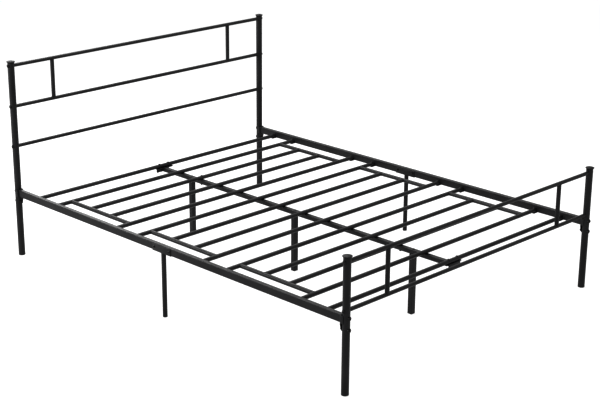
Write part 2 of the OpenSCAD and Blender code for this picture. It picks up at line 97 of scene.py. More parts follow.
SIGNS = (-1, 1)
CORNERS = [(sx, sy) for sx in SIGNS for sy in SIGNS]
post_x = middle("head_post_right").x
post_y = middle("head_post_right").y
post_r = size("head_post_right").x / 2
head_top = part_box("head_post_right")[1].z
foot_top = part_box("foot_post_right")[1].z
bed_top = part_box("side_rail_right_head")[1].z
bed_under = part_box("side_rail_right_head")[0].z
side_w = size("side_rail_right_head").x
slat_y = [middle("slat_%d" % i).y for i in range(1, 15)]
slat_r = size("slat_1").z / 2
slat_z = middle("slat_1").z
beam_w = size("centre_beam").x
beam_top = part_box("centre_beam")[1].z
between_rails = 2 * post_x - 2 * side_w
long_slats = [i for i in range(14) if size("slat_%d" % (i + 1)).x > between_rails]
short_slats = [i for i in range(14) if i not in long_slats]
print("posts at", round(post_x, 3), round(post_y, 3), "- long slats:", [i + 1 for i in long_slats])

# %% [markdown]
# ## The camera
#
# The camera stands off the left corner of the footboard, a little above the headboard,
# and looks down across the bed. A long lens keeps the far end from shrinking too much.
# It aims at the middle of the slats, so its place is that point, moved back along the
# line of sight.

# %% Set up the camera
towards_foot, below_bed_top = 0.033, 0.019
aim = Vector((0, -towards_foot, bed_top - below_bed_top))
heading, tilt, roll = radians(45.37), radians(18.95), radians(0.38)
distance = 6.42
focal_length, sensor_width = 86.7, 36    # both in millimetres
level_turn = Euler((pi / 2 - tilt, 0, -heading)).to_matrix().to_4x4()
turn = level_turn @ Matrix.Rotation(roll, 4, "Z")
camera = bpy.data.objects.new("camera", bpy.data.cameras.new("camera"))
camera.matrix_world = Matrix.Translation(aim) @ turn @ Matrix.Translation((0, 0, distance))
camera.data.sensor_width = sensor_width
camera.data.lens = focal_length
bpy.context.scene.collection.objects.link(camera)
bpy.context.scene.camera = camera
print("camera at", [round(v, 2) for v in camera.matrix_world.translation])

# %% [markdown]
# ## The studio
#
# A satin black tube shows its surroundings more than its own colour, so the studio is
# plain and pale: a wide floor, an even sky, and three large soft lights. The light over
# the bed and the one behind the headboard draw the bright line along the tops of the
# tubes. The third stands to the left of the head end, so the side rail is lighter there.
#
# The floor glows a little, like a light table, so lamp light and shadow change it less.
# Its glow and what it reflects add up to white. The view has a gamma below 1, which makes
# its contrast firmer: the paint keeps the reflectance that real black paint has, and still
# looks black.

# %% Floor, sky and lights
def pale_floor(half_width, colour, glow):
    bm = bmesh.new()
    bmesh.ops.create_grid(bm, x_segments=1, y_segments=1, size=half_width)
    mesh = bpy.data.meshes.new("studio_floor")
    bm.to_mesh(mesh)
    bm.free()
    paper = bpy.data.materials.new("white_paper")
    paper.use_nodes = True
    shader = paper.node_tree.nodes["Principled BSDF"]
    shader.inputs["Base Color"].default_value = (colour, colour, colour, 1)
    shader.inputs["Roughness"].default_value = 0.9
    shader.inputs["Specular IOR Level"].default_value = 0.0
    shader.inputs["Emission Color"].default_value = (1, 1, 1, 1)
    shader.inputs["Emission Strength"].default_value = glow
    mesh.materials.append(paper)
    floor = bpy.data.objects.new("studio_floor", mesh)
    bpy.context.scene.collection.objects.link(floor)
    floor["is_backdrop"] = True


def soft_light(name, place, target, width, watts):
    data = bpy.data.lights.new(name, "AREA")
    data.shape = "SQUARE"
    data.size = width
    data.energy = watts
    lamp = bpy.data.objects.new(name, data)
    aimed = (Vector(target) - Vector(place)).to_track_quat("-Z", "Y").to_matrix().to_4x4()
    lamp.matrix_world = Matrix.Translation(place) @ aimed
    bpy.context.scene.collection.objects.link(lamp)


pale_floor(half_width=40, colour=0.2, glow=0.81)
sky = bpy.data.worlds.new("sky")
sky.use_nodes = True
backdrop = sky.node_tree.nodes["Background"]
backdrop.inputs["Color"].default_value = (1, 1, 1, 1)
backdrop.inputs["Strength"].default_value = 1.0
bpy.context.scene.world = sky
view = bpy.context.scene.view_settings
view.view_transform = "Standard"
view.gamma = 0.62
soft_light("over_bed", (0.2, 0.6, 3.4), target=(0, 0, 0.3), width=2.6, watts=110)
soft_light("behind_head", (0.8, 3.2, 2.4), target=(0, 0.2, 0.3), width=2.0, watts=60)
soft_light("left_of_head", (-3.2, 2.2, 1.4), target=(-0.7, 0.7, 0.3), width=1.5, watts=110)

# %% [markdown]
# ## Finishes
#
# The frame has four finishes. The steel is powder coated: the powder melts into a satin
# skin that is never quite flat, like the peel of an orange. The caps and feet are moulded
# plastic with an etched grain. The bolts, washers and nuts are blackened steel. The
# inserts are zinc plated. Each finish is a tree of nodes on object coordinates, which are
# metres here, so a noise of scale 600 has spots about a millimetre and a half wide.

# %% Helpers for finishes
class Finish:
    """A material in the making: its tree, its shader and the object coordinates."""

    def __init__(self, name, metallic, specular, ior=1.5):
        self.material = bpy.data.materials.new(name)
        self.material.use_nodes = True
        self.tree = self.material.node_tree
        self.shader = self.tree.nodes["Principled BSDF"]
        self.shader.inputs["Metallic"].default_value = metallic
        self.shader.inputs["Specular IOR Level"].default_value = specular
        self.shader.inputs["IOR"].default_value = ior
        self.place = self.tree.nodes.new("ShaderNodeTexCoord").outputs["Object"]

    def node(self, kind, settings=None, **inputs):
        made = self.tree.nodes.new(kind)
        for key, value in (settings or {}).items():
            setattr(made, key, value)
        for key, value in inputs.items():
            self.join(value, made.inputs[key.replace("_", " ")])
        return made

    def join(self, value, socket):
        if isinstance(value, bpy.types.NodeSocket):
            self.tree.links.new(value, socket)
        else:
            socket.default_value = value

    def noise(self, scale, detail=2.0, vector=None):
        place = vector or self.place
        made = self.node("ShaderNodeTexNoise", Vector=place, Scale=scale, Detail=detail)
        return made.outputs["Fac"]

    def spread(self, value, low, high, start=0.3, end=0.7):
        """Maps a value from start..end to low..high."""
        made = self.node(
            "ShaderNodeMapRange", Value=value,
            From_Min=start, From_Max=end, To_Min=low, To_Max=high,
        )
        return made.outputs["Result"]

    def stretched(self, scale):
        """Object coordinates, drawn out along the axes whose scale is below 1."""
        return self.node("ShaderNodeMapping", Vector=self.place, Scale=scale).outputs["Vector"]

    def blend(self, factor, first, second):
        made = self.node("ShaderNodeMix", {"data_type": "RGBA"}, Factor=factor)
        self.join(first, made.inputs[6])
        self.join(second, made.inputs[7])
        return made.outputs[2]

    def times(self, first, second):
        made = self.node("ShaderNodeMath", {"operation": "MULTIPLY"})
        self.join(first, made.inputs[0])
        self.join(second, made.inputs[1])
        return made.outputs[0]

    def grain(self, heights):
        """Adds bumps one on another, each given as (height, depth in metres, strength)."""
        normal = None
        for height, depth, strength in heights:
            bump = self.node("ShaderNodeBump", Height=height, Distance=depth, Strength=strength)
            if normal is not None:
                self.join(normal, bump.inputs["Normal"])
            normal = bump.outputs["Normal"]
        self.join(normal, self.shader.inputs["Normal"])

    def facing_up(self, start):
        """1 on surfaces that face up, falling to 0 where the normal's height is start."""
        normal = self.node("ShaderNodeNewGeometry").outputs["Normal"]
        split = self.node("ShaderNodeSeparateXYZ", Vector=normal)
        return self.spread(split.outputs["Z"], 0.0, 1.0, start, 1.0)

    def between(self, value, dark, light):
        """A colour that runs from dark to light where the value is high."""
        return self.blend(self.spread(value, 0.0, 1.0), (*dark, 1), (*light, 1))

    def coat(self, colour, roughness):
        self.join(colour, self.shader.inputs["Base Color"])
        self.join(roughness, self.shader.inputs["Roughness"])
        return self.material


# %% Powder coat
def powder_coat():
    skin = Finish("satin_powder_coat", metallic=0.0, specular=0.4, ior=1.4)
    clouds = skin.noise(7.0, 3.0)
    dust = skin.times(skin.facing_up(0.55), skin.spread(skin.noise(45.0, 4.0), 0.0, 0.5))
    black = skin.between(clouds, (0.02, 0.02, 0.021), (0.033, 0.033, 0.034))
    skin.grain([
        (skin.noise(620.0, 2.0), 0.00006, 0.35),
        (skin.noise(2800.0, 1.0), 0.00001, 0.3),
    ])
    colour = skin.blend(dust, black, (0.06, 0.06, 0.059, 1))
    return skin.coat(colour, skin.spread(clouds, 0.34, 0.42))


steel = powder_coat()
print("made", steel.name)


# %% Moulded plastic
def moulded_plastic():
    skin = Finish("etched_black_plastic", metallic=0.0, specular=0.4, ior=1.4)
    clouds = skin.noise(30.0, 3.0)
    height = skin.node("ShaderNodeSeparateXYZ", Vector=skin.place).outputs["Z"]
    scuffs_up_to = 0.006
    near_floor = skin.spread(height, 1.0, 0.0, 0.0, scuffs_up_to)
    scuffs = skin.times(near_floor, skin.spread(skin.noise(240.0, 5.0), 0.0, 1.0, 0.45, 0.7))
    black = skin.between(clouds, (0.016, 0.016, 0.0165), (0.027, 0.027, 0.0275))
    skin.grain([
        (skin.noise(1700.0, 3.0), 0.00005, 0.5),
        (skin.noise(90.0, 2.0), 0.0001, 0.1),
    ])
    colour = skin.blend(scuffs, black, (0.09, 0.09, 0.086, 1))
    return skin.coat(colour, skin.spread(clouds, 0.46, 0.58))


plastic = moulded_plastic()
print("made", plastic.name)


# %% Blackened steel and zinc
def blackened_steel():
    skin = Finish("blackened_bolt_steel", metallic=0.7, specular=0.4, ior=1.4)
    streaks = skin.noise(900.0, 3.0, skin.stretched((1.0, 1.0, 0.15)))
    blotches = skin.noise(160.0, 3.0)
    skin.grain([(streaks, 0.00003, 0.3), (blotches, 0.00005, 0.2)])
    colour = skin.between(blotches, (0.025, 0.025, 0.026), (0.06, 0.059, 0.058))
    return skin.coat(colour, skin.spread(streaks, 0.28, 0.42))


def zinc_plate():
    skin = Finish("zinc_plated_steel", metallic=1.0, specular=0.5)
    lines = skin.noise(1400.0, 2.0, skin.stretched((0.2, 1.0, 1.0)))
    spangle = skin.noise(260.0, 4.0)
    skin.grain([(lines, 0.00003, 0.35)])
    colour = skin.between(spangle, (0.42, 0.43, 0.46), (0.62, 0.62, 0.61))
    return skin.coat(colour, skin.spread(lines, 0.26, 0.4))


bolt_black = blackened_steel()
zinc = zinc_plate()
FINISHES = {"painted": steel, "plastic": plastic, "black_bolt": bolt_black, "zinc": zinc}
slots = {part["node"]: part["material_slot"] for part in frame["record"]["subparts"]}
for name, part in frame["nodes"].items():
    part.data.materials.clear()
    part.data.materials.append(FINISHES[slots[name]])
print("finished", len(frame["nodes"]), "CAD nodes")

# %% [markdown]
# ## Tools for the new pieces
#
# Three ways of making cover every new piece. A turned piece is a profile spun about Z, as
# on a lathe. A stacked piece joins rings of equal counts of corners, which lets a hexagon
# run into a circle, as on a bolt's socket or a nut. A folded piece is a flat sheet, bent
# along its folds and then given its thickness, as a press does. A finished piece is copied
# to its places inside one mesh, so its object can stay at the origin.
#
# Two small helpers pick the points or the faces out of what an extrusion returns.

# %% Turn, stack and fold
HAIR = 0.001 * MM    # points closer than this are one point


def points_of(geom):
    return [part for part in geom if isinstance(part, bmesh.types.BMVert)]


def faces_of(geom):
    return [part for part in geom if isinstance(part, bmesh.types.BMFace)]


def round_corners(bm, corners, radius):
    """Rounds the corners of a flat sheet."""
    bmesh.ops.bevel(
        bm, geom=corners, offset=radius, segments=4, profile=0.5,
        affect="VERTICES", material=-1,
    )


def crease(bm, width, segments=2, sharper_than=32):
    """Rounds every edge whose faces meet more sharply than the angle."""
    bmesh.ops.recalc_face_normals(bm, faces=bm.faces)
    sharp = [e for e in bm.edges if e.is_manifold and e.calc_face_angle(0) > radians(sharper_than)]
    bmesh.ops.bevel(
        bm, geom=sharp, offset=width, segments=segments, profile=0.5,
        affect="EDGES", clamp_overlap=True, material=-1,
    )


def turned(profile, steps=48, closed=False):
    """Spins (radius, height) points about Z. A closed profile doesn't touch the axis."""
    bm = bmesh.new()
    points = [bm.verts.new((r, 0, z)) for r, z in profile]
    ends = points[1:] + (points[:1] if closed else [])
    edges = [bm.edges.new(pair) for pair in zip(points, ends)]
    bmesh.ops.spin(
        bm, geom=points + edges, cent=(0, 0, 0), axis=(0, 0, 1), angle=2 * pi,
        steps=steps, use_merge=True, use_duplicate=False,
    )
    bmesh.ops.remove_doubles(bm, verts=bm.verts, dist=HAIR)
    bmesh.ops.recalc_face_normals(bm, faces=bm.faces)
    return bm


def ring(bm, radius, height, sides, around):
    """A loop with the same count of corners whatever its number of sides is."""
    first = len(bm.edges)
    lifted = Matrix.Translation((0, 0, height))
    bmesh.ops.create_circle(bm, segments=sides, radius=radius, matrix=lifted)
    bm.edges.ensure_lookup_table()
    if sides < around:
        bmesh.ops.subdivide_edges(bm, edges=bm.edges[first:], cuts=around // sides - 1)
        bm.edges.ensure_lookup_table()
    return bm.edges[first:]


def stacked(levels, around=24, closed=False):
    """Bridges rings given as (radius, height, sides). A closed stack joins its ends."""
    bm = bmesh.new()
    rings = [ring(bm, *level, around) for level in levels]
    pairs = list(zip(rings, rings[1:])) + ([(rings[-1], rings[0])] if closed else [])
    for low, high in pairs:
        bmesh.ops.bridge_loops(bm, edges=low + high)
    if not closed:
        bmesh.ops.holes_fill(bm, edges=rings[0] + rings[-1], sides=0)
    bmesh.ops.recalc_face_normals(bm, faces=bm.faces)
    return bm


def folded(line, along, bend):
    """Draws a line of points out along a vector into a sheet, and rounds its folds."""
    bm = bmesh.new()
    points = [bm.verts.new(p) for p in line]
    edges = [bm.edges.new(pair) for pair in zip(points, points[1:])]
    drawn = bmesh.ops.extrude_edge_only(bm, edges=edges)["geom"]
    bmesh.ops.translate(bm, verts=points_of(drawn), vec=along)
    folds = [e for e in bm.edges if len(e.link_faces) == 2]
    bmesh.ops.bevel(
        bm, geom=folds, offset=bend, segments=5, profile=0.5, affect="EDGES", material=-1,
    )
    bmesh.ops.recalc_face_normals(bm, faces=bm.faces)
    return bm


def cut(bm, point, outwards, faces=None, drop=True):
    """Cuts a sheet along a plane, and may drop what lies outwards of it."""
    faces = list(bm.faces) if faces is None else faces
    corners = list({v for f in faces for v in f.verts})
    edges = list({e for f in faces for e in f.edges})
    bmesh.ops.bisect_plane(
        bm, geom=corners + edges + faces, dist=HAIR,
        plane_co=point, plane_no=outwards, clear_outer=drop,
    )


def thickened(bm, towards, wall):
    """Gives a sheet its wall, on the side of it that faces the point towards."""
    face = max(bm.faces, key=lambda f: f.calc_area())
    if face.normal.dot(Vector(towards) - face.calc_center_median()) > 0:
        bmesh.ops.reverse_faces(bm, faces=bm.faces)
    bmesh.ops.solidify(bm, geom=bm.faces[:], thickness=wall)
    bmesh.ops.recalc_face_normals(bm, faces=bm.faces)
    return bm


# %% Copy a shape to its places
made_pieces = []
keep_sharp_above = radians(38)


def piece(name, shape, places, finish, nodes=()):
    """Copies a bmesh to each place in one mesh, and lets it stand for the CAD nodes named."""
    if shape.calc_volume(signed=True) < 0:
        bmesh.ops.reverse_faces(shape, faces=shape.faces)
    for face in shape.faces:
        face.smooth = True
    pattern = bpy.data.meshes.new(name)
    shape.to_mesh(pattern)
    shape.free()
    whole = bmesh.new()
    for place in places:
        copy = pattern.copy()
        copy.transform(place)
        whole.from_mesh(copy)
        bpy.data.meshes.remove(copy)
    whole.to_mesh(pattern)
    whole.free()
    pattern.set_sharp_from_angle(angle=keep_sharp_above)
    pattern.materials.append(finish)
    made = bpy.data.objects.new(name, pattern)
    bpy.context.scene.collection.objects.link(made)
    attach(made, "root")
    if nodes:
        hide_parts(*nodes)
    made_pieces.append(made)
    print(name, "-", len(places), "copies,", len(pattern.polygons), "faces")
    return made


def at(x, y, z, turn=None):
    return Matrix.Translation((x, y, z)) @ (turn or Matrix())


def at_corner(sx, sy):
    """Turned so that the middle of the bed lies towards a piece's -Y side."""
    return at(sx * post_x, sy * post_y, 0, Matrix.Rotation(0 if sy > 0 else pi, 4, "Z"))


POINT_OUT = {-1: Matrix.Rotation(-pi / 2, 4, "Y"), 1: Matrix.Rotation(pi / 2, 4, "Y")}

# %% [markdown]
# ## Caps on the posts
#
# Each post ends in a moulded cap: a cone that widens from the tube, a straight rim, and a
# low dome. A plug holds it in the tube. It is round all over, so it is turned. The rim's
# two edges get a small radius, which is what catches the light, and the mould has left a
# small dimple in the middle.

# %% Post caps
tube_wall = 1.5 * MM
plug_gap = 0.2 * MM
cap_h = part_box("post_caps")[1].z - head_top
cap_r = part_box("post_caps")[1].x - post_x
cone_h = 4.5 * MM
rim_top = 6 * MM
dome_h = cap_h - rim_top
dome_r = (cap_r ** 2 + dome_h ** 2) / (2 * dome_h)


def dome(radius):
    return cap_h - dome_r + sqrt(dome_r ** 2 - radius ** 2)


dimple_r, dimple_floor = 1.6 * MM, cap_h - 0.5 * MM
plug_r = post_r - tube_wall - plug_gap
plug_inner_r = plug_r - 1.5 * MM
plug_end, cap_roof = -8 * MM, -1 * MM
cap_profile = [(0, dimple_floor), (dimple_r * 0.7, dimple_floor), (dimple_r, dome(dimple_r))]
cap_profile += [(cap_r * share, dome(cap_r * share)) for share in (0.25, 0.4, 0.55, 0.7, 0.85)]
cap_profile += [(cap_r, rim_top), (cap_r, cone_h), (post_r, 0), (plug_r, 0), (plug_r, plug_end)]
cap_profile += [(plug_inner_r, plug_end), (plug_inner_r, cap_roof), (0, cap_roof)]
cap = turned(cap_profile, steps=64)
crease(cap, 0.45 * MM, segments=3, sharper_than=24)
post_tops = {-1: foot_top, 1: head_top}
cap_places = [at(sx * post_x, sy * post_y, post_tops[sy]) for sx, sy in CORNERS]
piece("moulded_post_caps", cap, cap_places, plastic, ["post_caps"])

# %% [markdown]
# ## Feet
#
# Every leg stands on a plastic foot: a flange as wide as the tube, and a hollow plug that
# holds it there. The round ones are turned, with a rounded lower edge, a seam line where
# the flange meets the tube, and a ring to stand on. The square ones start as a flat square
# whose corners are rounded. It is drawn up, inset by the tube's wall and drawn up again for
# the plug, then inset once more and pushed down to hollow it.

# %% Round feet
foot_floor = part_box("head_post_right")[0].z
plug_h = size("post_feet").z - foot_floor
plug_wall = 2 * MM
foot_round = 2 * MM
sole_hollow = 0.6 * MM
seam = 0.4 * MM


def round_foot(tube_r):
    plug = tube_r - tube_wall - plug_gap
    profile = [(0, sole_hollow), (tube_r * 0.5, sole_hollow), (tube_r * 0.56, 0)]
    for step in range(5):
        angle = step * pi / 8
        profile.append((tube_r - foot_round * (1 - sin(angle)), foot_round * (1 - cos(angle))))
    plug_top = foot_floor + plug_h
    profile += [
        (tube_r, foot_floor - seam), (tube_r - seam, foot_floor), (plug, foot_floor),
        (plug, plug_top - MM), (plug - MM, plug_top), (plug - plug_wall, plug_top),
        (plug - plug_wall, foot_floor), (0, foot_floor),
    ]
    return turned(profile, steps=64)


leg_r = size("mid_leg_right").x / 2
piece("moulded_post_feet", round_foot(post_r),
      [at(sx * post_x, sy * post_y, 0) for sx, sy in CORNERS], plastic, ["post_feet"])
piece("moulded_leg_feet", round_foot(leg_r),
      [at(sx * post_x, 0, 0) for sx in SIGNS], plastic, ["mid_leg_feet"])


# %% Square feet
def square_foot(tube_w):
    bm = bmesh.new()
    eighth_turn = Matrix.Rotation(pi / 4, 4, "Z")
    base = bmesh.ops.create_circle(
        bm, cap_ends=True, segments=4, radius=tube_w / sqrt(2), matrix=eighth_turn,
    )
    round_corners(bm, base["verts"], foot_round)
    top = bm.faces[:]
    for rim, rise in ((0, foot_floor), (tube_wall + plug_gap, plug_h), (plug_wall, -plug_h)):
        if rim:
            bmesh.ops.inset_region(bm, faces=top, thickness=rim, use_even_offset=True)
        drawn = bmesh.ops.extrude_face_region(bm, geom=top)["geom"]
        if rim:
            bmesh.ops.delete(bm, geom=[f for f in top if f.is_valid], context="FACES_ONLY")
        bmesh.ops.translate(bm, verts=points_of(drawn), vec=(0, 0, rise))
        top = faces_of(drawn)
    crease(bm, 0.4 * MM, sharper_than=50)
    return bm


centre_legs = ["centre_leg_head", "centre_leg_middle", "centre_leg_foot"]
leg_y = [middle(n).y for n in centre_legs]
piece("moulded_square_feet", square_foot(size("centre_leg_middle").x),
      [at(0, y, 0) for y in leg_y], plastic, ["centre_leg_feet"])

# %% [markdown]
# ## Pressed brackets
#
# The corner bracket is a strip folded into a channel: two cheeks hold the round post and
# the web is welded to the side rail. Below the rail the channel is trimmed to a rounded
# tongue for the lower bolt. A press leaves bends with a radius, so the sheet is folded
# first, trimmed next with cutting planes, and only then made thick.

# %% Corner brackets
bracket_low, bracket_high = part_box("corner_bracket_head_right")
bracket_half = (bracket_high.x - bracket_low.x) / 2
web_outer = post_y - bracket_low.y
big_head_r = 7 * MM
lower_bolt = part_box("corner_bolts")[0].z + big_head_r
upper_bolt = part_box("corner_bolts")[1].z - big_head_r
tongue_r = lower_bolt - bracket_low.z
channel_z = bed_under - 11 * MM
bracket_wall = 2 * MM
pressed_edge = 0.35 * MM


def corner_bracket():
    bm = folded(
        [(-bracket_half, 0, bed_top), (-bracket_half, -web_outer, bed_top),
         (bracket_half, -web_outer, bed_top), (bracket_half, 0, bed_top)],
        along=(0, 0, bracket_low.z - bed_top), bend=3.2 * MM,
    )
    for sx in SIGNS:
        edge = Vector((sx * (bracket_half - tongue_r), 0, channel_z - lower_bolt))
        cut(bm, (sx * tongue_r, 0, lower_bolt), (edge.z * sx, 0, -edge.x * sx))
    for step in range(1, 12):
        angle = pi + step * pi / 12
        out = Vector((cos(angle), 0, sin(angle)))
        cut(bm, Vector((0, 0, lower_bolt)) + out * tongue_r, out)
    thickened(bm, (0, 0, (bed_top + bed_under) / 2), bracket_wall)
    crease(bm, pressed_edge, sharper_than=50)
    return bm


for end, sy in (("head", 1), ("foot", -1)):
    for side, sx in (("left", -1), ("right", 1)):
        corner = "%s_%s" % (end, side)
        piece("pressed_bracket_" + corner, corner_bracket(), [at_corner(sx, sy)], steel,
              ["corner_bracket_" + corner])


# %% [markdown]
# The middle bracket is a longer channel that holds the two halves of a side rail from
# below, and a round leg is welded under it. Its four free corners are rounded before the
# sheet gets its wall.

# %% Middle brackets
def middle_bracket(node):
    low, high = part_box(node)
    section = [(low.x, high.z), (low.x, low.z), (high.x, low.z), (high.x, high.z)]
    bm = folded(
        [(x, low.y, z) for x, z in section],
        along=(0, high.y - low.y, 0), bend=2.6 * MM,
    )
    free = [v for v in bm.verts if abs(v.co.z - high.z) < 0.1 * MM]
    round_corners(bm, free, 4 * MM)
    thickened(bm, (low + high) / 2, bracket_wall)
    crease(bm, pressed_edge, sharper_than=50)
    return bm


for side in ("left", "right"):
    node = "mid_bracket_" + side
    piece("pressed_splice_" + side, middle_bracket(node), [Matrix()], steel, [node])


# %% [markdown]
# The clamp at each end of the beam is folded once: its ears lie under the end slat and
# its upright closes the end of the beam. The beam passes between the ears, so a notch is
# cut there. Only the upright is narrowed, so the two cutting planes work on its faces.

# %% Beam clamps
clamp_low, clamp_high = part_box("beam_clamp_head")
upright_half = 36 * MM
notch = beam_w / 2 + 0.2 * MM
clamp_wall = 3 * MM


def flat_faces(bm):
    return [f for f in bm.faces if f.normal.z ** 2 > 0.99]


def beam_clamp():
    ear, fold, foot = (
        (clamp_low.y, clamp_high.z), (clamp_high.y, clamp_high.z), (clamp_high.y, clamp_low.z))
    bm = folded(
        [(clamp_low.x, y, z) for y, z in (ear, fold, foot)],
        along=(clamp_high.x - clamp_low.x, 0, 0), bend=3.5 * MM,
    )
    for sx in SIGNS:
        standing = [f for f in bm.faces if f.normal.z ** 2 < 0.5]
        cut(bm, (sx * upright_half, 0, 0), (sx, 0, 0), standing)
    for sx in SIGNS:
        cut(bm, (sx * notch, 0, 0), (1, 0, 0), flat_faces(bm), drop=False)
    between = [f for f in flat_faces(bm) if abs(f.calc_center_median().x) < notch]
    bmesh.ops.delete(bm, geom=between, context="FACES")
    free = [v for v in bm.verts if len(v.link_edges) == 2 and abs(v.co.x) > notch + MM]
    round_corners(bm, free, 3 * MM)
    thickened(bm, (0, clamp_low.y, clamp_low.z), clamp_wall)
    crease(bm, pressed_edge, sharper_than=50)
    return bm


piece("pressed_clamp_head", beam_clamp(), [Matrix()], steel, ["beam_clamp_head"])
half_turn = Matrix.Rotation(pi, 4, "Z")
piece("pressed_clamp_foot", beam_clamp(), [half_turn], steel, ["beam_clamp_foot"])

# %% [markdown]
# ## Bolts and nuts
#
# Every bolt has a button head with a hexagon socket. It is stacked: the socket's floor,
# its six walls, the rounded head, the shank, and the last part of the shank with the
# ridges of its thread. A nut is a closed stack: round bore, chamfered hexagon, round bore.
# Each seat is a little hollow, as on real ones, and that also lets the bridge between its
# two rings know its direction: between rings of one height it can come out twisted.

# %% Stack a bolt and a nut
ROUND, HEXAGON = 24, 6
hollow = 0.08 * MM
rim_h = 0.35 * MM
socket_depth, socket_lip = 2 * MM, 0.3 * MM
thread_depth, tip_bevel = 0.45 * MM, 0.7 * MM
bore_bevel, nut_chamfer = 0.5 * MM, 0.7 * MM


def button_bolt(shank_r, head_r, head_h, length, thread_start):
    """A bolt whose head sits on Z = 0 and whose shank points down."""
    socket_r = shank_r * 0.6
    levels = [(socket_r, head_h - socket_depth, HEXAGON), (socket_r, head_h - socket_lip, HEXAGON)]
    curve = (head_r ** 2 + head_h ** 2) / (2 * head_h)
    for share in (0.42, 0.6, 0.78, 0.92, 0.985):
        radius = head_r * share
        levels.append((radius, head_h - curve + sqrt(curve ** 2 - radius ** 2), ROUND))
    levels += [(head_r, rim_h, ROUND), (head_r * 0.97, 0, ROUND), (shank_r, hollow, ROUND)]
    pitch = shank_r / 3
    depth = thread_start
    while depth < length - pitch:
        levels += [(shank_r, -depth, ROUND), (shank_r - thread_depth, -depth - pitch / 2, ROUND)]
        depth += pitch
    levels += [(shank_r, -length + pitch / 2, ROUND), (shank_r - tip_bevel, -length, ROUND)]
    return stacked(levels)


def hexagon_nut(across, height, bore_r):
    """A nut whose upper face is at Z = 0."""
    corner_r = across / 2 / cos(pi / 6)
    face_r = across / 2 * 0.97
    mouth_r = bore_r + bore_bevel
    return stacked([
        (mouth_r, hollow - height, ROUND), (face_r, -height, ROUND),
        (corner_r, nut_chamfer - height, HEXAGON), (corner_r, -nut_chamfer, HEXAGON),
        (face_r, 0, ROUND), (mouth_r, -hollow, ROUND),
        (bore_r, -bore_bevel, ROUND), (bore_r, bore_bevel - height, ROUND),
    ], closed=True)


# %% Bolts at the corners and in the cross rails
thick_shank_r, thin_shank_r = 4 * MM, 3 * MM
head_r, slat_head_r = 6 * MM, 5.5 * MM
high_head, low_head = 4.5 * MM, 3.5 * MM
corner_washer, rail_washer = 2.5 * MM, 2 * MM
AWAY = Matrix.Rotation(-pi / 2, 4, "X")


def at_corner_bolts(y):
    """Places at distance y from each post's axis, at the heights of its two bolts."""
    heights = (upper_bolt, lower_bolt)
    return [at_corner(sx, sy) @ at(0, y, z, AWAY) for sx, sy in CORNERS for z in heights]


corner_bolt = button_bolt(
    thick_shank_r, big_head_r, high_head, length=43.7 * MM, thread_start=35 * MM)
piece("corner_button_bolts", corner_bolt, at_corner_bolts(post_r + corner_washer),
      bolt_black, ["corner_bolts"])
big_nut = hexagon_nut(across=13 * MM, height=6.5 * MM, bore_r=thick_shank_r)
piece("corner_hexagon_nuts", big_nut, at_corner_bolts(-web_outer), bolt_black, ["corner_nuts"])

rail_z = {name: middle(name).z for name in (
    "head_rail_top", "head_rail_middle", "head_rail_low", "foot_rail_top", "foot_rail_low")}
rail_seat = post_x + post_r + rail_washer
rail_places = [
    at(sx * rail_seat, post_y if name.startswith("head") else -post_y, z, POINT_OUT[sx])
    for sx in SIGNS for name, z in rail_z.items()
]
rail_bolt = button_bolt(thin_shank_r, head_r, low_head, length=52 * MM, thread_start=42 * MM)
piece("rail_button_bolts", rail_bolt, rail_places, bolt_black, ["rail_bolts"])

# %% Bolts in the slats and the splices
slat_top = slat_z + slat_r
slat_bolt_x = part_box("slat_bolts")[1].x - slat_head_r
slat_places = [at(sx * slat_bolt_x, slat_y[i], slat_top) for sx in SIGNS for i in long_slats]
slat_bolt = button_bolt(thin_shank_r, slat_head_r, low_head, length=23 * MM, thread_start=17 * MM)
piece("slat_button_bolts", slat_bolt, slat_places, bolt_black, ["slat_bolts"])

splice_half = size("mid_bracket_right").x / 2
splice_z = middle("splice_bolts").z
splice_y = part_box("splice_bolts")[1].y - head_r


def at_splices(x):
    """Places at the four splice bolts, at distance x from the middle of the bed."""
    return [at(sx * x, sy * splice_y, splice_z, POINT_OUT[sx]) for sx, sy in CORNERS]


past_the_nut = 7 * MM
splice_bolt = button_bolt(thin_shank_r, head_r, low_head,
                          length=2 * splice_half + past_the_nut, thread_start=20 * MM)
piece("splice_button_bolts", splice_bolt, at_splices(post_x + splice_half),
      bolt_black, ["splice_bolts"])

# %% Bolts in the beam and the small nuts
clamp_bolt_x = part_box("beam_bolts")[1].x - head_r
clamp_slats, beam_slats = (0, 13), (2, 11)


def at_clamps(z):
    return [at(sx * clamp_bolt_x, slat_y[i], z) for sx in SIGNS for i in clamp_slats]


def at_beam_slats(z):
    return [at(0, slat_y[i], z) for i in beam_slats]


clamp_bolt = button_bolt(thin_shank_r, head_r, low_head, length=28 * MM, thread_start=20 * MM)
piece("clamp_button_bolts", clamp_bolt, at_clamps(slat_top), bolt_black, ["beam_bolts"])
beam_bolt = button_bolt(thin_shank_r, head_r, low_head, length=45 * MM, thread_start=37 * MM)
piece("beam_button_bolts", beam_bolt, at_beam_slats(slat_top), bolt_black)
leg_bolt = button_bolt(thick_shank_r, big_head_r, low_head, length=29 * MM, thread_start=20 * MM)
piece("leg_button_bolts", leg_bolt, [at(0, y, beam_top) for y in leg_y], bolt_black, ["leg_bolts"])

small_nut = hexagon_nut(across=10 * MM, height=5 * MM, bore_r=thin_shank_r)
nut_places = at_splices(post_x - splice_half)
nut_places += at_clamps(beam_top - clamp_wall) + at_beam_slats(beam_top - beam_w)
piece("small_hexagon_nuts", small_nut, nut_places, bolt_black, ["m6_nuts"])

# %% [markdown]
# ## Weld beads
#
# A weld is a row of small overlapping puddles along the line where two pieces meet. A
# curve with a round bevel makes one in a few lines: it follows the joint, and its radius
# swells and shrinks from point to point. Where a tube meets a tube of its own size, the
# line is a saddle, so its points come from the two radii.

